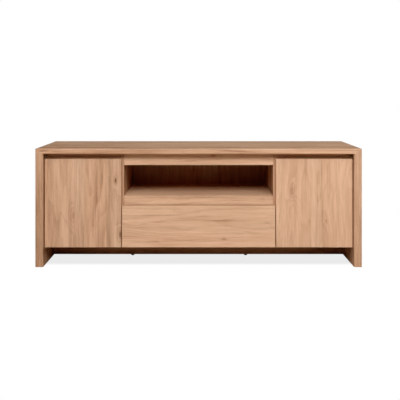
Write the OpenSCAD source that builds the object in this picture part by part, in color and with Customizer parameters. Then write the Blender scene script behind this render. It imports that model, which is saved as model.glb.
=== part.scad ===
// Low media cabinet in solid wood: a mitred waterfall frame, two pivot doors, an open
// niche over one wide drawer, a set-back support beam and two levelling feet.
// Millimetres. +Z is up, the fronts face -Y, X = 0 is the middle, Z = 0 is the floor.

/* [Overall] */
// Width over the side panels
overall_w = 1500; // [1300:10:1900]
// Depth of the frame, front edge to back edge
overall_d = 450; // [400:5:560]
// Height from the floor to the top surface
overall_h = 545; // [500:5:660]

/* [Frame] */
// Thickness of each side panel
side_t = 36; // [24:1:45]
// Thickness of the top panel
top_t = 25; // [20:1:36]
// Radius on the frame's inner front edge
inner_edge_r = 6; // [1:0.5:8]
// Radius on the frame's outer front edge
outer_edge_r = 4; // [1:0.5:6]
// Radius on the frame's back edges
back_edge_r = 1; // [0.5:0.5:3]
// Thickness of the pads under the side panels
pad_h = 2; // [1:0.5:4]
// Width of each pad
pad_w = 24; // [16:1:30]
// Length of each pad
pad_l = 60; // [30:5:100]
// Distance of each pad from the end of its side panel
pad_end = 20; // [10:5:60]

/* [Fronts] */
// Thickness of the doors and of the drawer front
front_t = 18; // [16:1:24]
// How far the fronts sit behind the frame's front edge
front_recess = 18; // [8:1:25]
// Joint between neighbouring fronts, and between a door and the frame
front_gap = 3; // [2.5:0.5:4]
// Shadow gap between the top panel and the doors
top_gap = 23; // [12:1:26]
// How far the fronts hang below the bottom panel, as a finger grip
front_drop = 20; // [18:1:30]
// Width of one door
door_w = 354; // [300:1:420]
// Height of the drawer front
drawer_front_h = 189; // [170:1:240]
// Radius on the upright edges of the fronts
front_edge_r = 2; // [1:0.5:3]
// Space between the fronts and the carcass, filled by the bumpers
bumper_gap = 2; // [1.5:0.5:4]
// Diameter of the bumpers
bumper_d = 7; // [5:0.5:7]

/* [Carcass] */
// Thickness of the bottom panel, dividers and rails
carcass_t = 18; // [16:1:22]
// Clear height under the bottom panel
floor_clear = 109; // [90:1:140]
// Thickness of the shelf in the niche
shelf_t = 13; // [12:1:22]
// How far that shelf and the niche's rails sit behind the dividers' front edges
niche_setback = 6; // [0:1:10]
// Radius on that shelf's upper front edge
shelf_edge_r = 3; // [1:0.5:5]
// Height of the rail under that shelf
shelf_rail_h = 40; // [30:1:60]
// How far the drawer front laps over that rail
rail_lap = 8; // [5:1:15]
// Height of the rail over the niche
top_rail_h = 54; // [45:1:70]
// Depth of the stretchers above the doors
stretcher_d = 60; // [40:1:90]
// Thickness of the stretchers and height of the rear cleats
stretcher_t = 32; // [18:1:40]
// How far the stretchers sit behind the dividers' front edges
stretcher_setback = 6; // [0:1:10]
// Thickness of the back panels
back_t = 9; // [6:1:12]
// How far the back panels sit inside the frame's back edge
back_inset = 3; // [3:0.5:8]
// Joint between neighbouring back panels
back_seam = 0.5; // [0.2:0.1:2]
// Diameter of each cable outlet
outlet_d = 60; // [40:1:80]
// Height of a cable outlet's centre above the bottom panel
outlet_rise = 60; // [50:1:80]

/* [Inner shelves] */
// Thickness of the loose shelf behind each door
inner_shelf_t = 16; // [14:1:20]
// Height of the loose shelves' underside
inner_shelf_z = 300; // [280:1:330]
// How far the loose shelves sit behind the dividers' front edges
shelf_setback = 15; // [5:5:40]
// Side play of a loose shelf, at each end
inner_shelf_play = 1.5; // [0.5:0.5:3]
// Space between a loose shelf and the back panel
shelf_back_clear = 2; // [1:1:6]
// Diameter of a shelf pin
pin_d = 5; // [4:0.5:6]
// Length of a shelf pin inside its hole
pin_in = 9; // [7:1:11]
// Length of a shelf pin under its shelf
pin_out = 8; // [6:1:12]
// Vertical pitch of the holes for the shelf pins
pin_pitch = 32; // [24:1:40]

/* [Beam and feet] */
// Thickness of the support beam
beam_t = 20; // [18:1:28]
// Front face of the beam behind the middle of the cabinet
beam_y0 = 2.5; // [-20:0.5:40]
// Height of a levelling foot's pad, floor to beam
foot_h = 6; // [5.5:0.5:12]
// Diameter of a levelling foot's pad
foot_d = 16; // [14:1:24]
// Place of the left foot along the beam
left_foot_x = -325; // [-500:1:-100]
// Place of the right foot along the beam
right_foot_x = 232; // [100:1:500]
// Diameter of a foot's threaded stem
stem_d = 6; // [5:0.5:8]
// Length of a foot's threaded stem above the beam's underside
stem_len = 28; // [20:1:45]
// Outer diameter of the insert that a foot screws into
insert_d = 10; // [9.5:0.5:12]
// Length of that insert
insert_len = 15; // [10:1:20]

/* [Pivot hinges] */
// Distance of a door's axis from its outer edge and from its face
pivot_inset = 6; // [5.5:0.25:7]
// Diameter of a pivot pin
pivot_d = 5; // [4:0.5:5]
// Outer diameter of a pivot bush
bush_d = 8; // [7:0.5:9]
// Depth of a pivot bush in the door's edge, leaf included
bush_depth = 13; // [10:1:18]
// Thickness of the hinge plates and leaves
plate_t = 2.5; // [2:0.25:3]
// Width of the hinge plates
plate_w = 12; // [10:0.5:12]
// Length of the hinge plates behind the pivot
plate_len = 42; // [36:1:60]
// Width of the leaves let into the door
leaf_w = 10; // [9:0.5:11]
// Radial clearance of a pin in its bush and of a foot in its insert
run_clear = 0.05; // [0.02:0.01:0.1]
// Free space under the door's pivot leaf, above the thrust washer
washer_clear = 0.3; // [0.1:0.1:0.5]

/* [Catches] */
// Length of a magnetic catch, upwards
catch_len = 40; // [30:1:60]
// Depth of a magnetic catch
catch_d = 22; // [16:1:26]
// Width of a magnetic catch
catch_w = 14; // [12:1:18]
// Distance of a catch's top below the door's top edge
catch_drop = 45; // [30:5:90]
// Width of a strike plate on a door
strike_w = 12; // [10:1:12]
// Thickness of a strike plate
strike_t = 1; // [0.8:0.1:1.2]

/* [Drawer box] */
// Thickness of the box's sides, inner front and back
box_t = 12; // [10:1:16]
// Height of the box
box_h = 125; // [100:1:128]
// Space under the box
box_rise = 10; // [6:1:12]
// Length of the box behind the drawer front
box_len = 370; // [320:1:390]
// Thickness of the box's bottom
box_bottom_t = 6; // [4:0.5:8]
// Depth of the groove that holds the bottom
groove_d = 5; // [4:0.5:7]
// Height of that groove above the box's lower edge
groove_rise = 10; // [8:1:14]
// Length of the runners
runner_len = 350; // [300:10:350]
// Space for a runner beside the box
runner_space = 13; // [12.7:0.1:14]
// Height of a runner
runner_h = 45; // [43:1:46]
// Height of the runners' centre line above the box's lower edge
runner_rise = 53; // [40:1:60]
// Thickness of the runners' steel
steel_t = 1.2; // [1:0.1:1.3]

/* [Joinery] */
// Diameter of the dowels
dowel_d = 8; // [6:0.5:8]
// Depth of a dowel in each of the boards it joins
dowel_depth = 12; // [10:0.5:13]
// Depth of a dowel on each side of a mitre
mitre_dowel_depth = 8; // [6:0.5:9]
// Diameter of the screws
screw_d = 3.5; // [3:0.5:4]
// Diameter of the screws' heads
screw_head_d = 7; // [6:0.5:8]
// Height of the screws' heads
screw_head_h = 1.2; // [1:0.1:1.2]
// Bite of a screw in the wood behind what it holds
screw_bite = 12; // [8:0.5:13]

/* [Hidden] */
$fn = 64;

LEFT = -1;
RIGHT = 1;

// Colours
WOOD = [0.77, 0.62, 0.50];
WOOD_DARK = [0.66, 0.50, 0.38];
BOX_WOOD = [0.80, 0.70, 0.56];
BRONZE = [0.22, 0.17, 0.13];
STEEL = [0.70, 0.71, 0.72];
BRASS = [0.72, 0.60, 0.32];
BLACK = [0.08, 0.08, 0.08];
NYLON = [0.90, 0.89, 0.85];
FELT = [0.30, 0.26, 0.22];

// Frame
half_w = overall_w / 2;
front_y = -overall_d / 2;
back_y = overall_d / 2;
inner_x = half_w - side_t;
top_under_z = overall_h - top_t;

// Fronts
face_y = front_y + front_recess;
front_back_y = face_y + front_t;
front_z0 = floor_clear - front_drop;
door_z1 = top_under_z - top_gap;
door_x1 = inner_x - front_gap;
door_x0 = door_x1 - door_w;
drawer_front_x = door_x0 - front_gap;
drawer_front_z1 = front_z0 + drawer_front_h;

// Carcass
carcass_y = front_back_y + bumper_gap;
back_panel_y = back_y - back_inset - back_t;
bottom_z = floor_clear + carcass_t;
seam_x = (door_x0 + drawer_front_x) / 2;
divider_x = seam_x - carcass_t / 2;
divider_out_x = seam_x + carcass_t / 2;
shelf_rail_z = drawer_front_z1 - rail_lap;
shelf_z = shelf_rail_z + shelf_rail_h;
niche_y = carcass_y + niche_setback;
stretcher_z = top_under_z - stretcher_t;
stretcher_y = carcass_y + stretcher_setback;
compartment_x = (divider_out_x + inner_x) / 2;
outlet_z = bottom_z + outlet_rise;

// Pivots
pivot_x = door_x1 - pivot_inset;
pivot_y = face_y + pivot_inset;
pivot_gap_z = front_z0 - plate_t;
bracket_z = pivot_gap_z - plate_t;
bracket_drop_y = carcass_y + 2;
bracket_back_y = carcass_y + 38;
bush_bore_r = pivot_d / 2 + run_clear;
pin_end_clear = 2;
leaf_screw_places = [16, 30];
bracket_screw_places = [14, 28];
stem_hole_clear = 0.6;
foot_lift = 0.5;
bumper_clear = 0.3;
bumper_end = 14;

// Drawer box and runners
box_x = divider_x - runner_space;
box_in_x = box_x - box_t;
box_z0 = bottom_z + box_rise;
box_z1 = box_z0 + box_h;
box_back_y = front_back_y + box_len;
groove_z = box_z0 + groove_rise;
runner_z = box_z0 + runner_rise;
runner_y = carcass_y + 2;
ball_gap = 3;
cabinet_runner_reach = 10;
middle_runner_len = runner_len - 10;
middle_runner_u = steel_t + 2.3;
drawer_runner_u = middle_runner_u + steel_t + 1.8;
runner_screw_places = [40, 190, 320];

// Evenly spaced places from a to b
function places(a, b, n) = [for (i = [0 : n - 1]) a + (b - a) * i / (n - 1)];

dowel_margin = 38;
deep_places = places(carcass_y + dowel_margin, back_panel_y - dowel_margin, 4);
mitre_places = places(front_y + dowel_margin, back_y - dowel_margin, 6);
beam_y = beam_y0 + beam_t / 2;
beam_dowel_zs = places(foot_h + 25, floor_clear - 25, 2);
rail_y = niche_y + carcass_t / 2;
top_rail_z = top_under_z - top_rail_h;

// ---- shared shapes ----

// A board from one corner to the other
module board(lo, hi) {
    translate(lo) cube(hi - lo);
}

// Draws its children on the right, or mirrored on the left
module on(side) {
    mirror([side == LEFT ? 1 : 0, 0, 0]) children();
}

// What a radius r takes off a square corner at the origin
module corner_waste(r) {
    if (r > 0)
        difference() {
            translate([-1, -1]) square(r + 1);
            translate([r, r]) circle(r);
        }
}

// A w by h rectangle from the origin, with its corners' radii as
// [near-left, near-right, far-right, far-left]
module eased_rect(w, h, r) {
    difference() {
        square([w, h]);
        corner_waste(r[0]);
        translate([w, 0]) mirror([1, 0]) corner_waste(r[1]);
        translate([w, h]) mirror([1, 0]) mirror([0, 1]) corner_waste(r[2]);
        translate([0, h]) mirror([0, 1]) corner_waste(r[3]);
    }
}

// A prism through the cabinet's depth on an outline drawn in X and Z
module through_y() {
    translate([0, back_y + 1, 0]) rotate([90, 0, 0]) linear_extrude(overall_d + 2) children();
}

// A cylinder along X, Y or Z, centred on a point
module rod(at, direction, r, len) {
    turn = direction == "x" ? [0, 90, 0] : direction == "y" ? [90, 0, 0] : [0, 0, 0];
    translate(at) rotate(turn) cylinder(h = len, r = r, center = true);
}

// A flat-headed screw whose head rests on z = 0 and whose shank runs down
module screw(len) {
    cylinder(h = screw_head_h, d = screw_head_d);
    translate([0, 0, -len]) cylinder(h = len, d = screw_d);
}

// A countersunk screw, flush with z = 0
module flush_screw(len) {
    translate([0, 0, -screw_head_h]) cylinder(h = screw_head_h, d1 = screw_d, d2 = screw_head_d);
    translate([0, 0, -len]) cylinder(h = len - screw_head_h, d = screw_d);
}

// ---- joinery ----

// The dowels across both mitres, square to the joint
module mitre_dowel_set() {
    for (side = [LEFT, RIGHT], y = mitre_places)
        on(side)
            translate([(inner_x + half_w) / 2, y, (top_under_z + overall_h) / 2])
                rotate([0, -atan2(top_t, side_t), 0])
                    cylinder(h = 2 * mitre_dowel_depth, d = dowel_d, center = true);
}

// The dowels that hold the boards of the carcass to each other and to the frame
module carcass_dowel_set() {
    len = 2 * dowel_depth;
    r = dowel_d / 2;
    for (side = [LEFT, RIGHT])
        on(side) {
            for (y = deep_places) {
                rod([inner_x, y, floor_clear + carcass_t / 2], "x", r, len);
                rod([divider_x, y, shelf_z + shelf_t / 2], "x", r, len);
                rod([seam_x, y, bottom_z], "z", r, len);
                rod([seam_x, y, top_under_z], "z", r, len);
            }
            for (z = beam_dowel_zs)
                rod([inner_x, beam_y, z], "x", r, len);
            rod([divider_x, rail_y, shelf_rail_z + shelf_rail_h / 2], "x", r, len);
            rod([divider_x, rail_y, top_rail_z + top_rail_h / 3], "x", r, len);
            rod([inner_x, stretcher_y + stretcher_d / 2, stretcher_z + stretcher_t / 2], "x", r, len);
        }
}

// The places of the screws in the back panels, in X and Z
function back_screw_xs() = [
    for (side = [LEFT, RIGHT])
        each [side * (inner_x - 30), side * compartment_x, side * (divider_out_x + 40),
              side * (divider_x - 40)],
    0
];

// The screws that hold the back panels to the bottom panel, the cleats and the dividers
module back_screw_set() {
    len = back_t + screw_bite;
    rear = back_panel_y + back_t;
    for (x = back_screw_xs(), z = [floor_clear + carcass_t / 2, stretcher_z + stretcher_t / 2])
        translate([x, rear, z]) rotate([-90, 0, 0]) screw(len);
    for (side = [LEFT, RIGHT], dx = [-4.5, 4.5], z = places(bottom_z + 80, stretcher_z - 80, 3))
        translate([side * seam_x + dx, rear, z]) rotate([-90, 0, 0]) screw(len);
}

// The holes for the shelf pins behind one door, or the pins themselves at one height
module pin_set(heights, reach) {
    for (z = heights, y = [carcass_y + 50, back_panel_y - 50]) {
        rod([inner_x + pin_in - (pin_in + reach) / 2, y, z], "x", pin_d / 2, pin_in + reach);
        rod([divider_out_x - pin_in + (pin_in + reach) / 2, y, z], "x", pin_d / 2, pin_in + reach);
    }
}

pin_z = inner_shelf_z - pin_d / 2;
pin_hole_zs = [pin_z - pin_pitch, pin_z, pin_z + pin_pitch];

module pin_holes() {
    pin_set(pin_hole_zs, 1);
}

// The screws of the hinge plates under the top panel and of the lower brackets
module pivot_screw_set() {
    len = plate_t + screw_bite;
    for (side = [LEFT, RIGHT])
        on(side) {
            for (back = leaf_screw_places)
                translate([pivot_x - back, pivot_y, top_under_z - plate_t])
                    mirror([0, 0, 1]) flush_screw(len);
            for (dy = bracket_screw_places)
                translate([pivot_x, bracket_drop_y + dy, floor_clear - plate_t])
                    mirror([0, 0, 1]) flush_screw(len);
        }
}

// The screws that hold the runners to the dividers
module runner_screw_set() {
    for (side = [LEFT, RIGHT], dy = runner_screw_places)
        on(side)
            translate([divider_x - steel_t, runner_y + dy, runner_z])
                rotate([0, -90, 0]) screw(steel_t + screw_bite);
}

// The screws of the drawer: runners to sides, and inner front to drawer front
module drawer_screw_set() {
    for (side = [LEFT, RIGHT])
        on(side) {
            for (dy = runner_screw_places)
                translate([box_x + steel_t, runner_y + dy, runner_z])
                    rotate([0, 90, 0]) screw(steel_t + box_t - 2);
            for (z = [box_z0 + 40, box_z1 - 30])
                translate([box_in_x - 60, front_back_y + box_t, z])
                    rotate([-90, 0, 0]) screw(box_t + front_t - 8);
        }
}

// ---- the frame ----

// What a mitre takes off the top panel
module mitre_waste_of_top(side) {
    on(side)
        through_y()
            polygon([
                [inner_x - side_t, top_under_z - top_t],
                [half_w + side_t, overall_h + top_t],
                [half_w + side_t, top_under_z - top_t]
            ]);
}

// What a mitre takes off a side panel
module mitre_waste_of_side() {
    through_y()
        polygon([
            [inner_x - side_t, top_under_z - top_t],
            [half_w + side_t, overall_h + top_t],
            [inner_x - side_t, overall_h + top_t]
        ]);
}

module top_panel() {
    color(WOOD)
        difference() {
            translate([-half_w, front_y, top_under_z])
                rotate([90, 0, 90])
                    linear_extrude(overall_w)
                        eased_rect(overall_d, top_t,
                                   [inner_edge_r, back_edge_r, back_edge_r, outer_edge_r]);
            mitre_waste_of_top(LEFT);
            mitre_waste_of_top(RIGHT);
            mitre_dowel_set();
            carcass_dowel_set();
            pivot_screw_set();
        }
}

module side_panel(side) {
    color(WOOD)
        on(side)
            difference() {
                translate([inner_x, front_y, pad_h])
                    linear_extrude(overall_h - pad_h)
                        eased_rect(side_t, overall_d,
                                   [inner_edge_r, outer_edge_r, back_edge_r, back_edge_r]);
                mitre_waste_of_side();
                mitre_dowel_set();
                carcass_dowel_set();
                pin_holes();
            }
}

module left_side_panel() { side_panel(LEFT); }
module right_side_panel() { side_panel(RIGHT); }

module mitre_dowels() {
    color(BOX_WOOD) mitre_dowel_set();
}

// ---- the carcass ----

module bottom_panel() {
    color(WOOD_DARK)
        difference() {
            board([-inner_x, carcass_y, floor_clear], [inner_x, back_panel_y, bottom_z]);
            carcass_dowel_set();
            back_screw_set();
            pivot_screw_set();
        }
}

module divider(side) {
    color(WOOD_DARK)
        on(side)
            difference() {
                board([divider_x, carcass_y, bottom_z], [divider_out_x, back_panel_y, top_under_z]);
                carcass_dowel_set();
                back_screw_set();
                runner_screw_set();
                pin_holes();
            }
}

module left_divider() { divider(LEFT); }
module right_divider() { divider(RIGHT); }

// A rail between the dividers, drilled for its dowels
module niche_rail(lo_z, hi_z) {
    difference() {
        board([-divider_x, niche_y, lo_z], [divider_x, niche_y + carcass_t, hi_z]);
        carcass_dowel_set();
    }
}

module niche_shelf() {
    color(WOOD)
        difference() {
            translate([-divider_x, niche_y, shelf_z])
                rotate([90, 0, 90])
                    linear_extrude(2 * divider_x)
                        eased_rect(back_panel_y - niche_y, shelf_t, [0, 0, 0, shelf_edge_r]);
            carcass_dowel_set();
        }
}

module niche_shelf_rail() {
    color(WOOD) niche_rail(shelf_rail_z, shelf_z);
}

module niche_top_rail() {
    color(WOOD) niche_rail(top_rail_z, top_under_z);
}

module top_stretcher(side) {
    color(WOOD_DARK)
        on(side)
            difference() {
                board([divider_out_x, stretcher_y, stretcher_z],
                      [inner_x, stretcher_y + stretcher_d, top_under_z]);
                carcass_dowel_set();
            }
}

module left_top_stretcher() { top_stretcher(LEFT); }
module right_top_stretcher() { top_stretcher(RIGHT); }

module rear_cleat(x0, x1) {
    color(WOOD_DARK)
        difference() {
            board([x0, back_panel_y - carcass_t, stretcher_z], [x1, back_panel_y, top_under_z]);
            back_screw_set();
        }
}

module left_rear_cleat() { rear_cleat(-inner_x, -divider_out_x); }
module centre_rear_cleat() { rear_cleat(-divider_x, divider_x); }
module right_rear_cleat() { rear_cleat(divider_out_x, inner_x); }

module carcass_dowels() {
    color(BOX_WOOD) carcass_dowel_set();
}

module back_panel(x0, x1) {
    color(WOOD_DARK)
        difference() {
            board([x0, back_panel_y, floor_clear], [x1, back_panel_y + back_t, top_under_z]);
            back_screw_set();
            for (side = [LEFT, RIGHT])
                rod([side * compartment_x, back_panel_y + back_t / 2, outlet_z], "y",
                    outlet_d / 2, back_t + 2);
        }
}

module left_back_panel() { back_panel(-inner_x + back_seam, -seam_x - back_seam / 2); }
module centre_back_panel() { back_panel(-seam_x + back_seam / 2, seam_x - back_seam / 2); }
module right_back_panel() { back_panel(seam_x + back_seam / 2, inner_x - back_seam); }

module back_panel_screws() {
    color(STEEL) back_screw_set();
}

// ---- the beam and what stands on the floor ----

module support_beam() {
    color(WOOD_DARK)
        difference() {
            board([-inner_x, beam_y0, foot_h], [inner_x, beam_y0 + beam_t, floor_clear]);
            carcass_dowel_set();
            for (x = [left_foot_x, right_foot_x])
                translate([x, beam_y, foot_h]) {
                    translate([0, 0, -1]) cylinder(h = insert_len + 1, d = insert_d);
                    cylinder(h = stem_len + pin_end_clear, r = stem_d / 2 + stem_hole_clear);
                }
        }
}

module foot_inserts() {
    color(BRASS)
        for (x = [left_foot_x, right_foot_x])
            translate([x, beam_y, foot_h])
                difference() {
                    cylinder(h = insert_len, d = insert_d);
                    translate([0, 0, -1]) cylinder(h = insert_len + 2, r = stem_d / 2 + run_clear);
                }
}

module levelling_foot(x) {
    r = foot_d / 2;
    pad = foot_h - foot_lift;
    color(BLACK)
        translate([x, beam_y, 0]) {
            rotate_extrude()
                polygon([[0, 0], [r - 1, 0], [r, 1], [r, pad - 2.5], [r - 2, pad - 0.5], [r - 3, pad],
                         [0, pad]]);
            cylinder(h = foot_h + stem_len, d = stem_d);
        }
}

module left_levelling_foot() { levelling_foot(left_foot_x); }
module right_levelling_foot() { levelling_foot(right_foot_x); }

module floor_pads() {
    color(FELT)
        for (side = [LEFT, RIGHT], end = [-1, 1])
            translate([side * (inner_x + half_w) / 2, end * (back_y - pad_end - pad_l / 2), pad_h / 2])
                cube([pad_w, pad_l, pad_h], center = true);
}

// ---- the loose shelves ----

module inner_shelf(side) {
    color(WOOD_DARK)
        on(side)
            board([divider_out_x + inner_shelf_play, carcass_y + shelf_setback, inner_shelf_z],
                  [inner_x - inner_shelf_play, back_panel_y - shelf_back_clear,
                   inner_shelf_z + inner_shelf_t]);
}

module left_inner_shelf() { inner_shelf(LEFT); }
module right_inner_shelf() { inner_shelf(RIGHT); }

module shelf_pins(side) {
    color(STEEL) on(side) pin_set([pin_z], pin_out);
}

module left_shelf_pins() { shelf_pins(LEFT); }
module right_shelf_pins() { shelf_pins(RIGHT); }

// ---- the doors and their pivots ----

// The outline of a leaf let into a door's edge, seen from above
module leaf_outline() {
    translate([pivot_x, pivot_y]) circle(d = leaf_w);
    translate([pivot_x - plate_len, pivot_y - leaf_w / 2]) square([plate_len, leaf_w]);
}

// The outside of the upper and lower bushes of one door
module bush_bodies() {
    translate([0, 0, door_z1 - plate_t]) linear_extrude(plate_t) leaf_outline();
    translate([pivot_x, pivot_y, door_z1 - bush_depth]) cylinder(h = bush_depth, d = bush_d);
    translate([0, 0, front_z0]) linear_extrude(plate_t) leaf_outline();
    translate([pivot_x, pivot_y, front_z0]) cylinder(h = bush_depth, d = bush_d);
}

// The room that both pivot pins need in the bushes and in the door behind them
module pivot_bores() {
    reach = bush_depth + pin_end_clear;
    translate([pivot_x, pivot_y, door_z1 - reach]) cylinder(h = reach + 1, r = bush_bore_r);
    translate([pivot_x, pivot_y, front_z0 - 1]) cylinder(h = reach + 1, r = bush_bore_r);
}

module door_panel(side) {
    color(WOOD)
        on(side)
            difference() {
                translate([door_x0, face_y, front_z0])
                    linear_extrude(door_z1 - front_z0)
                        eased_rect(door_w, front_t, front_edge_r * [1, 1, 1, 1]);
                bush_bodies();
                pivot_bores();
            }
}

module left_door_panel() { door_panel(LEFT); }
module right_door_panel() { door_panel(RIGHT); }

module door_bushes(side) {
    color(BRASS)
        on(side)
            difference() {
                bush_bodies();
                pivot_bores();
            }
}

module left_door_bushes() { door_bushes(LEFT); }
module right_door_bushes() { door_bushes(RIGHT); }

module upper_pivot(side) {
    pin_z0 = door_z1 - bush_depth + pin_end_clear;
    color(BRONZE)
        on(side)
            difference() {
                union() {
                    board([pivot_x - plate_len, pivot_y - plate_w / 2, top_under_z - plate_t],
                          [pivot_x + plate_w / 2, pivot_y + plate_w / 2, top_under_z]);
                    translate([pivot_x, pivot_y, pin_z0])
                        cylinder(h = top_under_z - pin_z0, d = pivot_d);
                }
                pivot_screw_set();
            }
}

module left_upper_pivot() { upper_pivot(LEFT); }
module right_upper_pivot() { upper_pivot(RIGHT); }

// A cranked bracket from the bottom panel down behind the door and forward under it
module lower_pivot(side) {
    color(BRONZE)
        on(side) {
            difference() {
                translate([pivot_x - plate_w / 2, 0, 0])
                    rotate([90, 0, 90])
                        linear_extrude(plate_w)
                            polygon([
                                [pivot_y - plate_w / 2, bracket_z],
                                [bracket_drop_y + plate_t, bracket_z],
                                [bracket_drop_y + plate_t, floor_clear - plate_t],
                                [bracket_back_y, floor_clear - plate_t],
                                [bracket_back_y, floor_clear],
                                [bracket_drop_y, floor_clear],
                                [bracket_drop_y, bracket_z + plate_t],
                                [pivot_y - plate_w / 2, bracket_z + plate_t]
                            ]);
                pivot_screw_set();
            }
            translate([pivot_x, pivot_y, bracket_z])
                cylinder(h = front_z0 + bush_depth - pin_end_clear - bracket_z, d = pivot_d);
        }
}

module left_lower_pivot() { lower_pivot(LEFT); }
module right_lower_pivot() { lower_pivot(RIGHT); }

module thrust_washer(side) {
    color(BLACK)
        on(side)
            translate([pivot_x, pivot_y, pivot_gap_z])
                difference() {
                    cylinder(h = plate_t - washer_clear, d = leaf_w);
                    translate([0, 0, -1]) cylinder(h = plate_t + 2, r = bush_bore_r);
                }
}

module left_thrust_washer() { thrust_washer(LEFT); }
module right_thrust_washer() { thrust_washer(RIGHT); }

module pivot_screws() {
    color(STEEL) pivot_screw_set();
}

// ---- catches and bumpers ----

catch_z = door_z1 - catch_drop - catch_len;
pole_out = bumper_gap - strike_t - 0.2;
pole_end = 5;
pole_edge = 2;

// A plastic housing on the divider, with two steel poles that meet the strike plate
module magnetic_catch(side) {
    color(NYLON)
        on(side) {
            board([divider_out_x, carcass_y, catch_z],
                  [divider_out_x + catch_w, carcass_y + catch_d, catch_z + catch_len]);
            for (dx = [pole_edge, strike_w - pole_edge - steel_t])
                board([divider_out_x + dx, carcass_y - pole_out, catch_z + pole_end],
                      [divider_out_x + dx + steel_t, carcass_y, catch_z + catch_len - pole_end]);
        }
}

module left_magnetic_catch() { magnetic_catch(LEFT); }
module right_magnetic_catch() { magnetic_catch(RIGHT); }

module strike_plate(side) {
    color(STEEL)
        on(side)
            board([divider_out_x, front_back_y, catch_z],
                  [divider_out_x + strike_w, front_back_y + strike_t, catch_z + catch_len]);
}

module left_strike_plate() { strike_plate(LEFT); }
module right_strike_plate() { strike_plate(RIGHT); }

// Small dots on the dividers' front edges, two behind each door and four behind the drawer
module front_bumpers() {
    color(BLACK)
        for (side = [LEFT, RIGHT])
            on(side) {
                for (z = [bottom_z + bumper_end, door_z1 - bumper_end])
                    bumper((door_x0 + divider_out_x) / 2, z);
                for (z = [bottom_z + bumper_end, drawer_front_z1 - bumper_end])
                    bumper((drawer_front_x + divider_x) / 2, z);
            }
}

module bumper(x, z) {
    translate([x, carcass_y, z])
        rotate([90, 0, 0]) cylinder(h = bumper_gap - bumper_clear, d = bumper_d);
}

// ---- the drawer ----

module drawer_front() {
    color(WOOD)
        difference() {
            translate([-drawer_front_x, face_y, front_z0])
                linear_extrude(drawer_front_h)
                    eased_rect(2 * drawer_front_x, front_t, front_edge_r * [1, 1, 1, 1]);
            drawer_screw_set();
        }
}

// The box's bottom, which runs in grooves in the sides and the inner front
module bottom_sheet() {
    board([-box_in_x - groove_d, front_back_y + box_t - groove_d, groove_z],
          [box_in_x + groove_d, box_back_y, groove_z + box_bottom_t]);
}

module drawer_side(side) {
    color(BOX_WOOD)
        difference() {
            on(side) board([box_in_x, front_back_y, box_z0], [box_x, box_back_y, box_z1]);
            bottom_sheet();
            drawer_screw_set();
        }
}

module drawer_left_side() { drawer_side(LEFT); }
module drawer_right_side() { drawer_side(RIGHT); }

module drawer_inner_front() {
    color(BOX_WOOD)
        difference() {
            board([-box_in_x, front_back_y, box_z0], [box_in_x, front_back_y + box_t, box_z1]);
            bottom_sheet();
            drawer_screw_set();
        }
}

module drawer_back() {
    color(BOX_WOOD)
        board([-box_in_x, box_back_y - box_t, groove_z + box_bottom_t], [box_in_x, box_back_y, box_z1]);
}

module drawer_bottom() {
    color(BOX_WOOD) bottom_sheet();
}

module drawer_screws() {
    color(STEEL) drawer_screw_set();
}

// ---- the runners ----

// A channel along Y: its web stands at u from the divider, its flanges reach to u + reach
module channel(u, reach, height, len, opens_inwards) {
    web = opens_inwards ? u : u + reach - steel_t;
    translate([divider_x, runner_y, runner_z]) mirror([1, 0, 0]) {
        translate([web, 0, -height / 2]) cube([steel_t, len, height]);
        for (z = [-height / 2, height / 2 - steel_t])
            translate([u, 0, z]) cube([reach, len, steel_t]);
    }
}

module cabinet_runner(side) {
    color(STEEL)
        difference() {
            on(side) channel(0, cabinet_runner_reach, runner_h, runner_len, true);
            runner_screw_set();
        }
}

module middle_runner(side) {
    height = runner_h - 2 * (steel_t + ball_gap);
    reach = runner_space - 2 * middle_runner_u;
    color(STEEL)
        on(side) channel(middle_runner_u, reach, height, middle_runner_len, true);
}

module drawer_runner(side) {
    height = runner_h - 4 * (steel_t + ball_gap);
    color(STEEL)
        difference() {
            on(side)
                channel(drawer_runner_u, runner_space - drawer_runner_u, height, runner_len, false);
            drawer_screw_set();
        }
}

module left_cabinet_runner() { cabinet_runner(LEFT); }
module right_cabinet_runner() { cabinet_runner(RIGHT); }
module left_middle_runner() { middle_runner(LEFT); }
module right_middle_runner() { middle_runner(RIGHT); }
module left_drawer_runner() { drawer_runner(LEFT); }
module right_drawer_runner() { drawer_runner(RIGHT); }

module runner_screws() {
    color(STEEL) runner_screw_set();
}

// ---- the whole ----

top_panel();
left_side_panel();
right_side_panel();
mitre_dowels();
bottom_panel();
left_divider();
right_divider();
niche_shelf();
niche_shelf_rail();
niche_top_rail();
left_top_stretcher();
right_top_stretcher();
left_rear_cleat();
centre_rear_cleat();
right_rear_cleat();
carcass_dowels();
left_back_panel();
centre_back_panel();
right_back_panel();
back_panel_screws();
support_beam();
foot_inserts();
left_levelling_foot();
right_levelling_foot();
floor_pads();
left_inner_shelf();
right_inner_shelf();
left_shelf_pins();
right_shelf_pins();
left_door_panel();
right_door_panel();
left_door_bushes();
right_door_bushes();
left_upper_pivot();
right_upper_pivot();
left_lower_pivot();
right_lower_pivot();
left_thrust_washer();
right_thrust_washer();
pivot_screws();
left_magnetic_catch();
right_magnetic_catch();
left_strike_plate();
right_strike_plate();
front_bumpers();
drawer_front();
drawer_inner_front();
drawer_left_side();
drawer_right_side();
drawer_back();
drawer_bottom();
drawer_screws();
left_cabinet_runner();
right_cabinet_runner();
left_middle_runner();
right_middle_runner();
left_drawer_runner();
right_drawer_runner();
runner_screws();
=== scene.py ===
"""Studio scene of a low wooden media cabinet: a mitred frame, two doors, a niche and a drawer.

Every length is in metres, in the cabinet's own frame: +Z up, the fronts face -Y.
"""

import math

import bmesh
import bpy
from mathutils import Matrix, Vector


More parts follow.
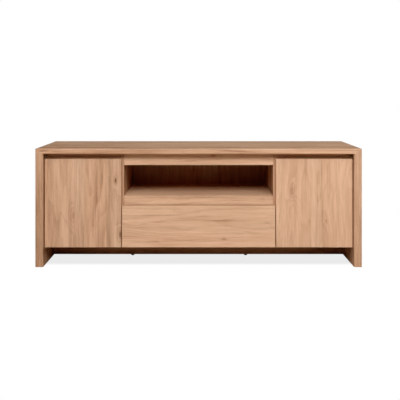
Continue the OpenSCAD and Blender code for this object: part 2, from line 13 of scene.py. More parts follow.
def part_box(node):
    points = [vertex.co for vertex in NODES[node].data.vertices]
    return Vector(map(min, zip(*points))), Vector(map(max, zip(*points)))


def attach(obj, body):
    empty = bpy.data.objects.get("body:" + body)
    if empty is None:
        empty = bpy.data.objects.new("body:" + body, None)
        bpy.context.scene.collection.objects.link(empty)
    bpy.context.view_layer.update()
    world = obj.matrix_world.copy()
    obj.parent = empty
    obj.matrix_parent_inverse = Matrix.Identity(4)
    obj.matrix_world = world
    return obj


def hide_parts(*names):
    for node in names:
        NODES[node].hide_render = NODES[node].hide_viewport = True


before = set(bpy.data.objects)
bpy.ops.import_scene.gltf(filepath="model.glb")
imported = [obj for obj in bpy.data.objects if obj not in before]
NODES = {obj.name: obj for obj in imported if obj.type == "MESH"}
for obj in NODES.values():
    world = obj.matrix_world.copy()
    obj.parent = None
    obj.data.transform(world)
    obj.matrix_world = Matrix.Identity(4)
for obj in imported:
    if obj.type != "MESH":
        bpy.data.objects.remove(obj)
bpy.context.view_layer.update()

AXES = "xyz"


def box_of(node):
    """A CAD node's lowest and highest corners."""
    low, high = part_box(node)
    return Vector(low), Vector(high)


FRAME_LOW = box_of("left_side_panel")[0]
FRAME_HIGH = box_of("right_side_panel")[1]
FRONT_Y = FRAME_LOW.y
TOP_Z = FRAME_HIGH.z


# ---- camera ----

CAMERA_DISTANCE = 3.08
CAMERA_HEIGHT = 0.8225
CAMERA_LENS = 60.4
CAMERA_SHIFT = (0.0035, -0.279)

camera_data = bpy.data.cameras.new("camera")
camera_data.lens = CAMERA_LENS
camera_data.sensor_width = 36.0
camera_data.shift_x, camera_data.shift_y = CAMERA_SHIFT
camera = bpy.data.objects.new("camera", camera_data)
camera.location = (0.0, FRONT_Y - CAMERA_DISTANCE, CAMERA_HEIGHT)
camera.rotation_euler = (math.radians(90.0), 0.0, 0.0)
bpy.context.collection.objects.link(camera)
bpy.context.scene.camera = camera


# ---- node graphs ----

class Graph:
    """Builds a node tree with one short call for each node."""

    def __init__(self, tree):
        self.tree = tree

    def put(self, socket, value):
        """Links a socket, or sets a plain value."""
        if isinstance(value, bpy.types.NodeSocket):
            self.tree.links.new(value, socket)
        elif value is not None:
            socket.default_value = value

    def node(self, kind, inputs=None, **settings):
        made = self.tree.nodes.new("ShaderNode" + kind)
        for key, value in settings.items():
            setattr(made, key, value)
        for key, value in (inputs or {}).items():
            self.put(made.inputs[key], value)
        return made

    def math(self, operation, *values, clamp=False):
        made = self.node("Math", operation=operation, use_clamp=clamp)
        for socket, value in zip(made.inputs, values):
            self.put(socket, value)
        return made.outputs[0]

    def add(self, a, b):
        return self.math("ADD", a, b)

    def sub(self, a, b):
        return self.math("SUBTRACT", a, b)

    def mul(self, a, b):
        return self.math("MULTIPLY", a, b)

    def div(self, a, b):
        return self.math("DIVIDE", a, b)

    def smooth(self, value, low, high, to_low=0.0, to_high=1.0):
        """A smooth step from low to high."""
        made = self.node("MapRange", {"Value": value, "From Min": low, "From Max": high,
                                      "To Min": to_low, "To Max": to_high},
                         interpolation_type="SMOOTHSTEP")
        return made.outputs[0]

    def vector(self, x=0.0, y=0.0, z=0.0):
        return self.node("CombineXYZ", {"X": x, "Y": y, "Z": z}).outputs[0]

    def split(self, vector):
        return self.node("SeparateXYZ", {"Vector": vector}).outputs

    def noise(self, vector, scale=1.0, detail=2.0, roughness=0.5, distortion=0.0):
        made = self.node("TexNoise", {"Vector": vector, "Scale": scale, "Detail": detail,
                                      "Roughness": roughness, "Distortion": distortion})
        return made.outputs[0]

    def ramp(self, value, stops):
        made = self.node("ValToRGB", {"Fac": value})
        elements = made.color_ramp.elements
        while len(elements) < len(stops):
            elements.new(0.5)
        for element, (place, colour) in zip(elements, stops):
            element.position = place
            element.color = (*colour, 1.0)
        return made.outputs[0]

    def blend(self, factor, a, b, mode="MIX"):
        made = self.node("Mix", data_type="RGBA", blend_type=mode)
        # A Mix node's colours are its inputs 6 and 7
        for socket, value in ((made.inputs[0], factor), (made.inputs[6], a), (made.inputs[7], b)):
            if isinstance(value, tuple):
                value = (*value, 1.0)
            self.put(socket, value)
        return made.outputs[2]


def new_material(name):
    """An empty material, its graph and its surface shader."""
    material = bpy.data.materials.new(name)
    material.use_nodes = True
    shader = material.node_tree.nodes["Principled BSDF"]
    return material, Graph(material.node_tree), shader


# ---- wood ----

WOOD_STOPS = (
    (0.00, (0.180, 0.089, 0.047)),
    (0.22, (0.400, 0.231, 0.141)),
    (0.42, (0.560, 0.352, 0.228)),
    (0.58, (0.640, 0.417, 0.277)),
    (0.78, (0.740, 0.505, 0.348)),
    (1.00, (0.860, 0.618, 0.448)),
)
MIDDLE_TONE = 0.56


def wood_group():
    """The figure of solid wood glued up from staves, as one shared group.

    Its point is (along the grain, across the staves, through the board).
    """
    tree = bpy.data.node_groups.new("wood_figure", "ShaderNodeTree")
    face = tree.interface
    for name, kind, value in (("Point", "NodeSocketVector", None), ("Seed", "NodeSocketFloat", 0.0),
                              ("Pitch", "NodeSocketFloat", 0.07), ("Contrast", "NodeSocketFloat", 1.0),
                              ("Tone", "NodeSocketFloat", 0.0), ("Bend", "NodeSocketFloat", 0.0),
                              ("Dark", "NodeSocketFloat", 0.0)):
        socket = face.new_socket(name=name, in_out="INPUT", socket_type=kind)
        if value is not None:
            socket.default_value = value
    face.new_socket(name="Color", in_out="OUTPUT", socket_type="NodeSocketColor")
    face.new_socket(name="Roughness", in_out="OUTPUT", socket_type="NodeSocketFloat")
    face.new_socket(name="Height", in_out="OUTPUT", socket_type="NodeSocketFloat")

    g = Graph(tree)
    given = tree.nodes.new("NodeGroupInput").outputs
    seed, pitch = given["Seed"], given["Pitch"]
    along, across, deep = g.split(given["Point"])

    # Staves of uneven width: a sine warps the place across the board before it is cut up
    place = g.add(g.div(across, pitch), seed)
    warp = g.mul(g.math("SINE", g.add(g.mul(place, 2.4), seed)), 0.28)
    stave = g.add(place, warp)
    stave_id = g.math("FLOOR", stave)
    in_stave = g.math("FRACT", stave)
    chance = g.node("TexWhiteNoise", {"Vector": g.vector(stave_id, seed, 0.0)},
                    noise_dimensions="3D")
    one, two, three = g.node("SeparateColor", {"Color": chance.outputs["Color"]}).outputs
    four = chance.outputs["Value"]

    # Each stave comes from its own place in its own log
    log_along = g.add(along, g.mul(one, 7.0))
    log_across = g.add(across, g.mul(two, 3.0))
    log_deep = g.add(deep, g.mul(three, 3.0))

    def figure(stretch, fine, detail=2.0, distortion=0.0):
        point = g.vector(g.mul(log_along, stretch), g.mul(log_across, fine), g.mul(log_deep, fine))
        return g.noise(point, 1.0, detail, 0.55, distortion)

    # Growth rings: distance from a pith under the face, wandering and tapering along the log
    wander = g.mul(g.sub(figure(1.6, 9.0, 2.0), 0.5), 0.060)
    ripple = g.mul(g.sub(figure(7.0, 30.0, 1.0), 0.5), 0.010)
    side = g.add(g.mul(g.sub(in_stave, 0.5), pitch), g.mul(g.sub(two, 0.5), 0.10))
    below = g.add(deep, g.add(g.mul(one, 0.10), 0.035))
    radius = g.math("SQRT", g.add(g.mul(side, side), g.mul(below, below)))
    taper = g.mul(along, g.mul(g.sub(three, 0.5), 0.05))
    radius = g.add(g.add(radius, taper), g.add(wander, g.add(ripple, given["Bend"])))
    ring_place = g.div(radius, g.add(g.mul(four, 0.005), 0.0055))
    ring = g.math("FRACT", ring_place)
    late = g.mul(g.smooth(ring, 0.25, 0.93), g.smooth(ring, 0.93, 1.0, 1.0, 0.0))

    broad = g.sub(figure(1.8, 26.0), 0.5)
    medium = g.sub(figure(6.0, 90.0), 0.5)
    fine = g.sub(figure(12.0, 420.0), 0.5)
    fleck = g.sub(figure(30.0, 1100.0, 1.0), 0.5)
    pore = g.smooth(figure(46.0, 1500.0, 0.0), 0.62, 0.74)

    # Dark mineral lines follow the level of a slow noise, where a second noise lets them
    vein = g.math("ABSOLUTE", g.sub(figure(1.1, 24.0, 1.0, 0.4), 0.5))
    vein = g.mul(g.smooth(vein, 0.0, 0.022, 1.0, 0.0), g.smooth(figure(1.9, 12.0, 1.0), 0.50, 0.66))

    seam_way = g.mul(g.math("MINIMUM", in_stave, g.sub(1.0, in_stave)), pitch)
    seam = g.smooth(seam_way, 0.0001, 0.0007, 1.0, 0.0)

    # How much lighter or darker each part of the figure makes the wood
    value = g.mul(g.sub(four, 0.5), 0.20)
    for part, weight in ((broad, 0.68), (medium, 0.28), (fine, 0.30), (fleck, 0.16), (late, -0.085),
                         (vein, -0.20), (pore, -0.10), (seam, -0.10)):
        value = g.add(value, g.mul(part, weight))
    value = g.add(g.mul(value, given["Contrast"]), g.add(given["Tone"], MIDDLE_TONE))
    value = g.sub(value, given["Dark"])
    colour = g.ramp(value, WOOD_STOPS)

    # Some staves are rosier, some greyer
    rosy = g.smooth(g.add(two, broad), 0.35, 0.95)
    colour = g.blend(g.mul(rosy, 0.30), colour, (1.06, 0.94, 0.90), "MULTIPLY")
    grey = g.smooth(g.add(three, broad), 0.45, 1.05)
    colour = g.blend(g.mul(grey, 0.30), colour, (0.93, 0.99, 1.04), "MULTIPLY")

    rough = g.add(g.mul(fine, -0.25), g.add(g.mul(late, -0.05), 0.60))
    height = g.add(g.mul(fine, 0.5), g.add(g.mul(fleck, 0.25), g.mul(late, 0.12)))
    height = g.sub(height, g.add(g.mul(pore, 0.45), g.mul(seam, 0.5)))
    out = tree.nodes.new("NodeGroupOutput").inputs
    g.put(out["Color"], colour)
    g.put(out["Roughness"], rough)
    g.put(out["Height"], height)
    return tree


WOOD_FIGURE = wood_group()


def wood(name, node, grain, staves, seed, pitch=0.075, tone=0.0, contrast=1.0, lean=0.0, knots=(),
         streaks_and_shade=()):
    """Wood for one board, whose grain runs along one axis and whose staves lie along another.

    Its tone rises by lean over its width in X.
    A knot is (place along, place across, radius, strength). Streaks are lines of grain and also bands of
    painted shade and light, and each is (place across, from, to, width, strength). Places, from and to are
    shares of the board's size, and radius and width are in metres. Strength darkens, and below zero it
    lightens.
    """
    material, g, shader = new_material(name)
    low, high = box_of(node)
    size = high - low
    u, v = AXES.index(grain), AXES.index(staves)
    w = 3 - u - v
    where = g.split(g.node("TexCoord").outputs["Object"])
    bend, dark = 0.0, 0.0
    knot_stretch, heart_fall = 2.6, -2.2
    for along, across, radius, strength in knots:
        far_u = g.div(g.sub(where[u], low[u] + along * size[u]), radius * knot_stretch)
        far_v = g.div(g.sub(where[v], low[v] + across * size[v]), radius)
        far = g.add(g.mul(far_u, far_u), g.mul(far_v, far_v))
        near = g.math("EXPONENT", g.mul(far, -0.5))
        heart = g.math("EXPONENT", g.mul(far, heart_fall))
        bend = g.add(g.mul(near, radius * 1.6), bend)
        dark = g.add(g.mul(g.add(g.mul(near, 0.3), heart), strength), dark)
    band_sway, fade_share = 0.016, 0.18
    # Streaks draw lines of grain; those that run past a board's ends, and the wide one on the beam, draw
    # painted shade and light
    for across, start, end, width, strength in streaks_and_shade:
        wave = g.sub(g.noise(g.vector(g.mul(where[u], 5.0), seed, across), 1.0, 1.0), 0.5)
        line = g.add(low[v] + across * size[v], g.mul(wave, band_sway))
        off = g.div(g.sub(where[v], line), width)
        thin = g.math("EXPONENT", g.mul(g.mul(off, off), -1.0))
        first, last = low[u] + start * size[u], low[u] + end * size[u]
        fade = fade_share * (last - first)
        held = g.mul(g.smooth(where[u], first, first + fade), g.smooth(where[u], last - fade, last, 1.0, 0.0))
        dark = g.add(g.mul(g.mul(thin, held), strength), dark)
    figure = g.node("Group", node_tree=WOOD_FIGURE)
    g.put(figure.inputs["Point"], g.vector(where[u], where[v], where[w]))
    figure.inputs["Seed"].default_value = seed
    figure.inputs["Pitch"].default_value = pitch
    figure.inputs["Contrast"].default_value = contrast
    share = g.div(g.sub(where[0], low[0]), size[0])
    g.put(figure.inputs["Tone"], g.add(g.mul(g.sub(share, 0.5), lean), tone))
    g.put(figure.inputs["Bend"], bend)
    g.put(figure.inputs["Dark"], dark)

    # Handling polishes and lightens the arrises: near two faces at once, seen from the board's box
    gaps = [g.math("MINIMUM", g.sub(where[i], low[i]), g.sub(high[i], where[i])) for i in range(3)]
    small = g.math("MINIMUM", gaps[0], gaps[1])
    large = g.math("MAXIMUM", gaps[0], gaps[1])
    second = g.math("MAXIMUM", small, g.math("MINIMUM", large, gaps[2]))
    worn = g.smooth(second, 0.0004, 0.0030, 1.0, 0.0)
    scuff = g.smooth(g.noise(g.node("TexCoord").outputs["Object"], 55.0, 3.0), 0.40, 0.65)
    worn = g.mul(worn, g.add(g.mul(scuff, 0.7), 0.3))
    colour = g.blend(g.mul(worn, 0.10), figure.outputs["Color"], (1.15, 1.15, 1.15), "MULTIPLY")
    g.put(shader.inputs["Base Color"], colour)
    g.put(shader.inputs["Roughness"], g.sub(figure.outputs["Roughness"], g.mul(worn, 0.12)))
    shader.inputs["Specular IOR Level"].default_value = 0.22
    bump = g.node("Bump", {"Strength": 0.35, "Distance": 0.0004, "Height": figure.outputs["Height"]})
    g.put(shader.inputs["Normal"], bump.outputs[0])
    return material


# ---- metal, plastic and felt ----

def grainy(name, colour, roughness, metallic=0.0, along=None, scale=900.0, spread=0.10, bump=0.15):
    """A surface with fine grain, brushed along one axis if one is named."""
    material, g, shader = new_material(name)
    where = g.node("TexCoord").outputs["Object"]
    if along:
        stretch = [scale, scale, scale]
        stretch[AXES.index(along)] = scale * 0.02
        where = g.node("Mapping", {"Vector": where, "Scale": tuple(stretch)}).outputs[0]
        grain = g.noise(where, 1.0, 2.0)
    else:
        grain = g.noise(where, scale, 3.0)
    cloud = g.noise(g.node("TexCoord").outputs["Object"], 24.0, 3.0)
    mixed = g.add(g.mul(grain, 0.6), g.mul(cloud, 0.4))
    dim = tuple(c * (1.0 - spread) for c in colour)
    lit = tuple(min(1.0, c * (1.0 + spread)) for c in colour)
    g.put(shader.inputs["Base Color"], g.ramp(mixed, ((0.3, dim), (0.7, lit))))
    g.put(shader.inputs["Roughness"], g.smooth(mixed, 0.25, 0.75, roughness - 0.08, roughness + 0.08))
    shader.inputs["Metallic"].default_value = metallic
    made = g.node("Bump", {"Strength": bump, "Distance": 0.0002, "Height": grain})
    g.put(shader.inputs["Normal"], made.outputs[0])
    return material


def catch_surface(name):
    """White plastic, with bare steel on the poles that stand out in front of it."""
    material = grainy(name, (0.78, 0.77, 0.72), 0.45, 0.0, None, 800.0, 0.03)
    g = Graph(material.node_tree)
    shader = material.node_tree.nodes["Principled BSDF"]
    front = box_of("left_divider")[0].y
    where = g.split(g.node("TexCoord").outputs["Object"])
    pole = g.smooth(where[1], front - 0.0002, front - 0.0001, 1.0, 0.0)
    plastic = shader.inputs["Base Color"].links[0].from_socket
    g.put(shader.inputs["Base Color"], g.blend(pole, plastic, (0.60, 0.60, 0.60)))
    g.put(shader.inputs["Metallic"], pole)
    return material


def dress(material, *names):
    """Gives CAD nodes a material."""
    for name in names:
        slots = NODES[name].data.materials
        if len(slots) == 0:
            slots.append(material)
        for i in range(len(slots)):
            slots[i] = material


def both(form):
    """The left and right names of a pair of nodes."""
    return "left_" + form, "right_" + form


# ---- the wooden boards ----

def dress_boards():
    """Each board's figure and tone, with its knots, grain lines and bands of painted shade and light.

    A streak that runs past an end of its board is a band of painted shade: on the front edges of the top and
    the niche shelf, and low on the rail over the drawer. The wide one on the beam is painted light, a lighter
    middle.
    """
    # The top's streak is painted shade along the left part of its front edge
    dress(wood("wood_top", "top_panel", "x", "y", 3.1, 0.085, -0.14, lean=0.14,
               streaks_and_shade=((0.01, -0.05, 0.42, 0.012, 0.14),)), "top_panel")
    dress(wood("wood_left_side", "left_side_panel", "z", "y", 7.7, 0.085, -0.24), "left_side_panel")
    dress(wood("wood_right_side", "right_side_panel", "z", "y", 12.3, 0.085, -0.14),
          "right_side_panel")
    dress(wood("wood_left_door", "left_door_panel", "z", "x", 21.4, 0.080, -0.11, lean=0.07,
               knots=((0.755, 0.925, 0.006, 0.40), (0.145, 0.99, 0.012, 0.25),
                      (0.36, 0.37, 0.014, 0.10)),
               streaks_and_shade=((0.68, 0.42, 1.0, 0.0035, 0.16), (0.845, 0.40, 0.85, 0.0030, 0.12),
                        (0.46, 0.05, 1.0, 0.0030, 0.08))),
          "left_door_panel")
    dress(wood("wood_right_door", "right_door_panel", "z", "x", 33.8, 0.080, 0.07, lean=-0.03,
               knots=((0.64, 0.205, 0.012, 0.16), (0.30, 0.655, 0.004, 0.22)),
               streaks_and_shade=((0.53, 0.05, 0.95, 0.0035, 0.16), (0.67, 0.45, 0.98, 0.0040, 0.10),
                        (0.60, 0.0, 0.60, 0.0040, 0.08))),
          "right_door_panel")
    dress(wood("wood_drawer_front", "drawer_front", "x", "z", 41.6, 0.110, 0.03, lean=0.05,
               knots=((0.665, 0.20, 0.006, 0.30),),
               streaks_and_shade=((0.80, 0.10, 0.45, 0.0030, 0.14), (0.66, 0.30, 0.75, 0.0035, 0.16),
                        (0.62, 0.02, 0.30, 0.0030, 0.12), (0.45, 0.84, 1.0, 0.0020, 0.12))),
          "drawer_front")
    dress(wood("wood_top_rail", "niche_top_rail", "x", "z", 52.9, 0.120, 0.09), "niche_top_rail")
    # The rail's streak is painted shade, low on the rail just over the drawer front
    dress(wood("wood_shelf_rail", "niche_shelf_rail", "x", "z", 57.1, 0.120, 0.03,
               streaks_and_shade=((0.22, -0.2, 1.2, 0.007, 0.24),)), "niche_shelf_rail")
    # The shelf's streak is painted shade along its front edge
    dress(wood("wood_shelf", "niche_shelf", "x", "y", 61.5, 0.080, 0.09,
               streaks_and_shade=((0.0, -0.2, 1.2, 0.006, 0.20),)), "niche_shelf")
    for i, name in enumerate(both("divider")):
        dress(wood("wood_" + name, name, "z", "y", 71.3 + 5.0 * i, 0.080, -0.20), name)
    dress(wood("wood_bottom", "bottom_panel", "x", "y", 83.2, 0.080, -0.04), "bottom_panel")
    # The beam's wide streak is painted light, which lightens its middle between darker ends
    dress(wood("wood_beam", "support_beam", "x", "z", 91.7, 0.140, -0.12,
               streaks_and_shade=((0.60, 0.06, 0.94, 0.080, -0.40),)), "support_beam")
    for i, name in enumerate(both("top_stretcher") + both("rear_cleat") + ("centre_rear_cleat",)):
        dress(wood("wood_" + name, name, "x", "y", 95.2 + 3.1 * i, 0.080, -0.16, 0.5), name)
    for i, name in enumerate(both("inner_shelf")):
        dress(wood("wood_" + name, name, "x", "y", 121.4 + 4.7 * i, 0.075, -0.02), name)
    for i, name in enumerate(both("back_panel") + ("centre_back_panel",)):
        dress(wood("wood_" + name, name, "z", "x", 133.9 + 6.1 * i, 0.160, -0.16, 0.5), name)
    for i, name in enumerate(("drawer_left_side", "drawer_right_side")):
        dress(wood("wood_" + name, name, "y", "z", 151.8 + 4.4 * i, 0.090, 0.10, 0.8), name)
    for i, name in enumerate(("drawer_inner_front", "drawer_back")):
        dress(wood("wood_" + name, name, "x", "z", 163.3 + 4.4 * i, 0.090, 0.10, 0.8), name)
    dress(wood("wood_drawer_bottom", "drawer_bottom", "x", "y", 172.6, 0.200, 0.12, 0.8),
          "drawer_bottom")
    dress(wood("wood_mitre_dowels", "mitre_dowels", "x", "z", 181.1, 0.020, 0.12, 0.6), "mitre_dowels")
    dress(wood("wood_carcass_dowels", "carcass_dowels", "x", "z", 187.9, 0.020, 0.12, 0.6),
          "carcass_dowels")


def dress_hardware():
    bronze = grainy("bronze_paint", (0.170, 0.095, 0.052), 0.50, 0.3, None, 700.0, 0.2)
    dress(bronze, *both("upper_pivot"), *both("lower_pivot"))
    zinc = grainy("zinc_plate", (0.56, 0.57, 0.58), 0.34, 1.0, "y", 900.0, 0.10)
    dress(zinc, *both("cabinet_runner"), *both("middle_runner"), *both("drawer_runner"))
    steel = grainy("screw_steel", (0.60, 0.60, 0.60), 0.30, 1.0, None, 1200.0, 0.08)
    dress(steel, "back_panel_screws", "pivot_screws", "runner_screws", "drawer_screws",
          *both("shelf_pins"), *both("strike_plate"))
    dress(grainy("brass", (0.66, 0.47, 0.19), 0.30, 1.0, None, 1000.0, 0.08),
          "foot_inserts", *both("door_bushes"))
    for name in both("magnetic_catch"):
        dress(catch_surface("catch_" + name), name)
    dress(grainy("black_plastic", (0.020, 0.020, 0.021), 0.50, 0.0, None, 900.0, 0.2),
          *both("levelling_foot"), *both("thrust_washer"))
    dress(grainy("rubber", (0.030, 0.030, 0.030), 0.75, 0.0, None, 1100.0, 0.2), "front_bumpers")
    dress(grainy("felt", (0.13, 0.10, 0.075), 0.95, 0.0, None, 2600.0, 0.35, 0.8), "floor_pads")


dress_boards()
dress_hardware()


# ---- turned and ball-bearing hardware ----

def islands(node):
    """The vertices of each separate solid in a CAD node."""
    mesh = bmesh.new()
    mesh.from_mesh(NODES[node].data)
    bmesh.ops.remove_doubles(mesh, verts=mesh.verts, dist=1e-6)
    left, groups = set(mesh.verts), []
    while left:
        group, queue = [], [left.pop()]
        while queue:
            vert = queue.pop()
            group.append(vert.co.copy())
            for edge in vert.link_edges:
                other = edge.other_vert(vert)
                if other in left:
                    left.remove(other)
                    queue.append(other)
        groups.append(group)
    mesh.free()
    return groups


def span(points):
    """The lowest and highest corners of some points."""
    return (Vector(min(p[i] for p in points) for i in range(3)),
            Vector(max(p[i] for p in points) for i in range(3)))


def lathe(mesh, place, profile, sides, sink=None, ribs=0, rib_depth=0.0):
    """Turns a profile of (radius, height) into mesh, from a centre at its start to one at its end.

    place maps a local point to the cabinet. sink gives how far a local point is pressed in, and
    ribs cut grips into the widest part.
    """
    widest = max(r for r, _ in profile)
    rings = []
    for radius, height in profile:
        ring = []
        if radius == 0.0:
            point = Vector((0.0, 0.0, height - (sink(0.0, 0.0, height) if sink else 0.0)))
            ring.append(mesh.verts.new(place @ point))
        else:
            for i in range(sides):
                turn = 2.0 * math.pi * i / sides
                r = radius
                if ribs and radius > 0.98 * widest:
                    r -= rib_depth * max(0.0, math.cos(ribs * turn))
                x, y = r * math.cos(turn), r * math.sin(turn)
                z = height - (sink(x, y, height) if sink else 0.0)
                ring.append(mesh.verts.new(place @ Vector((x, y, z))))
        rings.append(ring)
    for low, high in zip(rings, rings[1:]):
        for i in range(sides):
            j = (i + 1) % sides
            if len(low) == 1:
                mesh.faces.new((low[0], high[i], high[j]))
            elif len(high) == 1:
                mesh.faces.new((low[i], low[j], high[0]))
            else:
                mesh.faces.new((low[i], low[j], high[j], high[i]))


def add_piece(name, mesh, material, body, smooth=40.0):
    """Puts a finished mesh in the scene, on a body."""
    bmesh.ops.recalc_face_normals(mesh, faces=mesh.faces)
    data = bpy.data.meshes.new(name)
    mesh.to_mesh(data)
    mesh.free()
    data.materials.append(material)
    for face in data.polygons:
        face.use_smooth = True
    data.set_sharp_from_angle(angle=math.radians(smooth))
    piece = bpy.data.objects.new(name, data)
    bpy.context.collection.objects.link(piece)
    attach(piece, body)
    return piece


def thread(radius, depth, pitch, low, high):
    """A ridged profile between two heights."""
    count = max(1, int(abs(high - low) / pitch))
    step = (high - low) / count
    profile = []
    for i in range(count):
        profile += [(radius - depth, low + i * step), (radius, low + (i + 0.5) * step)]
    return profile


def cross_screws(node, body, material):
    """Screws with a domed head and a cross recess, in place of a node's plain ones."""
    mesh = bmesh.new()
    for points in islands(node):
        low, high = span(points)
        size = high - low
        axis = max(range(3), key=lambda i: size[i])
        centre = (low + high) / 2

        def reach(end):
            across = [i for i in range(3) if i != axis]
            return max(math.hypot(*(p[i] - centre[i] for i in across))
                       for p in points if abs(p[axis] - end) < 1e-5)

        at_high = reach(high[axis]) > reach(low[axis])
        top = high[axis] if at_high else low[axis]
        way = Vector((0.0, 0.0, 0.0))
        way[axis] = 1.0 if at_high else -1.0
        turn = way.to_track_quat("Z", "Y").to_matrix().to_4x4()
        seat = centre.copy()
        seat[axis] = top
        # No two crosses stand alike
        cross_turn = 0.9 * len(mesh.verts)
        place = Matrix.Translation(seat) @ turn @ Matrix.Rotation(cross_turn, 4, "Z")
        head, length = reach(top), size[axis]
        shank = reach(low[axis] if at_high else high[axis])
        thick, pitch = 0.0012, 0.0011
        slot_half, slot_reach, slot_depth = 0.14 * head, 0.62 * head, 0.8 * thick

        def recess(x, y, z):
            if z < -0.75 * thick:
                return 0.0
            for a, b in ((abs(x), abs(y)), (abs(y), abs(x))):
                if a < slot_half and b < slot_reach:
                    return slot_depth * (1.0 - 0.4 * b / slot_reach)
            return 0.0

        profile = [(0.0, -length), (0.4 * shank, -length + shank)]
        profile += thread(shank, 0.22 * shank, pitch, -length + 1.5 * shank, -thick - 0.001)
        profile += [(shank, -thick), (head, -thick), (head, -0.55 * thick)]
        dome_rings = 9
        for i in range(dome_rings):
            share = 1.0 - (i + 0.5) / dome_rings
            profile.append((0.97 * head * share, -0.45 * thick * share ** 3))
        profile.append((0.0, 0.0))
        lathe(mesh, place, profile, 32, recess)
    piece = add_piece(node + "_crossed", mesh, material, body)
    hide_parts(node)


def ribbed_foot(node, body, material):
    """A levelling foot with grip ribs on its pad and a threaded stem."""
    low, high = box_of(node)
    radius = (high.x - low.x) / 2
    pad, stem, thread_depth, pitch = 0.0055, 0.003, 0.0004, 0.001
    place = Matrix.Translation(Vector(((low.x + high.x) / 2, (low.y + high.y) / 2, low.z)))
    profile = [(0.0, 0.0), (radius - 0.0012, 0.0), (radius - 0.0003, 0.0004), (radius, 0.001),
               (radius, pad - 0.0025), (radius - 0.0006, pad - 0.0018), (radius - 0.002, pad - 0.0005),
               (radius - 0.003, pad), (stem, pad)]
    profile += thread(stem, thread_depth, pitch, pad + 0.0003, high.z - 0.001)
    profile += [(stem - 0.0006, high.z), (0.0, high.z)]
    mesh = bmesh.new()
    lathe(mesh, place, profile, 96, ribs=24, rib_depth=0.0004)
    piece = add_piece(node + "_ribbed", mesh, material, body, 50.0)
    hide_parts(node)


def ball_cage(name, body, steel, outer, inner, above):
    """A row of balls in a thin cage, between the flanges of two runner channels.

    It sits at the rear, where both channels still overlap when the drawer is out.
    """
    out_low, out_high = box_of(outer)
    in_low, in_high = box_of(inner)
    sheet, rear_gap, overhang, corner, half_sheet = 0.0012, 0.018, 0.006, 0.0012, 0.0002
    if above:
        z0, z1 = in_high.z, out_high.z - sheet
    else:
        z0, z1 = out_low.z + sheet, in_low.z
    x0, x1 = max(out_low.x, in_low.x), min(out_high.x, in_high.x)
    centre_x, centre_z = (x0 + x1) / 2, (z0 + z1) / 2
    radius = 0.48 * (z1 - z0)
    last = min(out_high.y, in_high.y) - rear_gap
    count, pitch = 11, 0.0085
    mesh = bmesh.new()
    for i in range(count):
        at = Matrix.Translation(Vector((centre_x, last - i * pitch, centre_z)))
        bmesh.ops.create_icosphere(mesh, subdivisions=2, radius=radius, matrix=at)
    half = 0.42 * (x1 - x0)
    first = last - (count - 1) * pitch
    corners = []
    for y, inset in ((first - overhang, corner), (first - overhang + corner, 0.0),
                     (last + overhang - corner, 0.0), (last + overhang, corner)):
        corners.append([mesh.verts.new((centre_x + s * (half - inset), y, centre_z + t * half_sheet))
                        for s, t in ((-1, -1), (1, -1), (1, 1), (-1, 1))])
    for near, far in zip(corners, corners[1:]):
        for i in range(4):
            j = (i + 1) % 4
            mesh.faces.new((near[i], near[j], far[j], far[i]))
    mesh.faces.new(corners[0])
    mesh.faces.new(corners[-1])
    add_piece(name, mesh, steel, body, 60.0)


def fit_hardware():
    steel = bpy.data.materials["screw_steel"]
    cross_screws("back_panel_screws", "cabinet", steel)
    cross_screws("pivot_screws", "cabinet", steel)
    cross_screws("runner_screws", "cabinet", steel)
    cross_screws("drawer_screws", "drawer", steel)
    plastic = bpy.data.materials["black_plastic"]
    for side in ("left", "right"):
        ribbed_foot(side + "_levelling_foot", side + "_foot", plastic)
        for above in (True, False):
            place = "upper" if above else "lower"
            ball_cage(f"{side}_{place}_outer_balls", "runner_middles", steel,
                      side + "_cabinet_runner", side + "_middle_runner", above)
            ball_cage(f"{side}_{place}_inner_balls", "drawer", steel,
                      side + "_middle_runner", side + "_drawer_runner", above)


fit_hardware()


# ---- eased arrises ----

FINE_ARRIS = 0.0008
SOFT_ARRIS = 0.0016


def ease(name, width):
    """Rounds a board's sharp edges a little."""
    bevel = NODES[name].modifiers.new("arris", "BEVEL")
    bevel.width = width
    bevel.segments = 2
    bevel.limit_method = "ANGLE"
    bevel.angle_limit = math.radians(40.0)


for name in ("top_panel", *both("side_panel"), *both("door_panel"), "drawer_front", "niche_top_rail",
             *both("divider"), "support_beam", "bottom_panel"):
    ease(name, FINE_ARRIS)
for name in ("niche_shelf", "niche_shelf_rail"):
    ease(name, SOFT_ARRIS)


# ---- floor, backdrop and light ----

FLOOR_SIZE = 30.0
BOUNCE_COLOUR = (0.52, 0.44, 0.37)
PAINTED_SHADOW_GREY = 0.18
AMBIENT = 0.03
TOE = 0.025
TONE_LEVELS = (0.01, 0.02, 0.04, 0.08, 0.15, 0.30, 0.60)


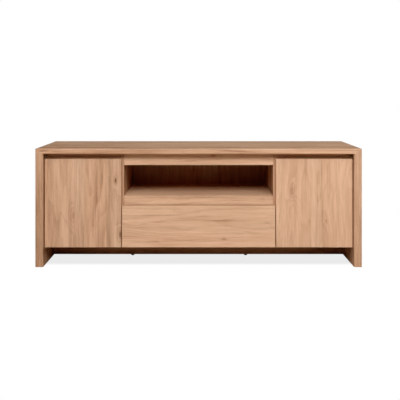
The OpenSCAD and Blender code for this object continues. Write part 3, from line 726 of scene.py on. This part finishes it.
def make_floor():
    """A floor that the camera sees as white, with a faint grey patch of painted shadow under the cabinet.

    Light bounces off a darker, warm surface, and from below the camera looks through the floor.
    """
    mesh = bpy.data.meshes.new("studio_floor")
    half = FLOOR_SIZE / 2
    corners = [(-half, -half, 0), (half, -half, 0), (half, half, 0), (-half, half, 0)]
    mesh.from_pydata(corners, [], [(0, 1, 2, 3)])
    floor = bpy.data.objects.new("studio_floor", mesh)
    bpy.context.collection.objects.link(floor)
    material, g, shader = new_material("studio_floor")
    shader.inputs["Base Color"].default_value = (*BOUNCE_COLOUR, 1.0)
    shader.inputs["Roughness"].default_value = 0.9
    shader.inputs["Specular IOR Level"].default_value = 0.0
    where = g.split(g.node("TexCoord").outputs["Object"])
    behind = g.smooth(where[1], FRONT_Y + 0.035, FRONT_Y + 0.090)
    ahead = g.smooth(where[1], FRAME_HIGH.y - 0.04, FRAME_HIGH.y + 0.06, 1.0, 0.0)
    beside = g.smooth(g.math("ABSOLUTE", where[0]), FRAME_HIGH.x - 0.03, FRAME_HIGH.x + 0.01, 1.0, 0.0)
    # The patch under the cabinet is a painted shadow: the floor glows less there
    under = g.mul(g.mul(behind, ahead), beside)
    glow = g.node("Emission", {"Color": (1.0, 1.0, 1.0, 1.0),
                               "Strength": g.sub(1.0, g.mul(under, PAINTED_SHADOW_GREY))})
    backing = g.node("NewGeometry").outputs["Backfacing"]
    seen = g.node("MixShader", {0: backing, 1: glow.outputs[0], 2: g.node("BsdfTransparent").outputs[0]})
    pick = g.node("MixShader", {0: g.node("LightPath").outputs["Is Camera Ray"],
                                1: shader.outputs[0], 2: seen.outputs[0]})
    out = material.node_tree.nodes["Material Output"]
    material.node_tree.links.new(pick.outputs[0], out.inputs["Surface"])
    mesh.materials.append(material)


def make_world():
    """A backdrop that the camera sees as white, and that lights the cabinet only a little."""
    world = bpy.data.worlds.new("studio")
    bpy.context.scene.world = world
    world.use_nodes = True
    g = Graph(world.node_tree)
    seen = g.node("Background", {"Color": (1.0, 1.0, 1.0, 1.0), "Strength": 1.0})
    lit = g.node("Background", {"Color": (1.0, 0.99, 0.98, 1.0), "Strength": AMBIENT})
    pick = g.node("MixShader", {0: g.node("LightPath").outputs["Is Camera Ray"],
                                1: lit.outputs[0], 2: seen.outputs[0]})
    out = world.node_tree.nodes["World Output"]
    world.node_tree.links.new(pick.outputs[0], out.inputs["Surface"])


def soft_light(name, place, aim, width, height, watts, shines=True):
    """An oval area light, which shows in glossy reflections only if it shines."""
    data = bpy.data.lights.new(name, "AREA")
    data.shape = "ELLIPSE"
    data.size, data.size_y = width, height
    data.energy = watts
    light = bpy.data.objects.new(name, data)
    light.visible_glossy = shines
    light.location = place
    light.rotation_euler = (Vector(aim) - Vector(place)).to_track_quat("-Z", "Y").to_euler()
    bpy.context.collection.objects.link(light)


make_floor()
make_world()
middle = Vector((0.0, FRONT_Y, 0.5 * TOP_Z))
soft_light("key_light", middle + Vector((0.35, -3.4, 2.52)), middle, 4.6, 1.6, 174.0)
soft_light("top_light", middle + Vector((0.0, -1.2, 3.0)), middle, 3.0, 1.6, 40.0)
soft_light("back_light", middle + Vector((-0.5, 3.8, 0.6)), middle, 3.5, 1.2, 75.0, shines=False)
for name, side in (("left_light", -1.0), ("right_light", 1.0)):
    soft_light(name, middle + Vector((3.4 * side, 0.7, 0.2)), middle, 1.8, 0.7, 40.0, shines=False)

scene = bpy.context.scene
scene.view_settings.view_transform = "Standard"
scene.view_settings.look = "None"
scene.view_settings.exposure = 0.0
scene.view_settings.gamma = 1.0
scene.view_settings.use_curve_mapping = True
# Curve 3 is the one for all three colours: it deepens the darks and leaves white alone
tone_curve = scene.view_settings.curve_mapping.curves[3]
for level in TONE_LEVELS:
    tone_curve.points.new(level, level * level / (level + TOE) * (1.0 + TOE))
scene.view_settings.curve_mapping.update()

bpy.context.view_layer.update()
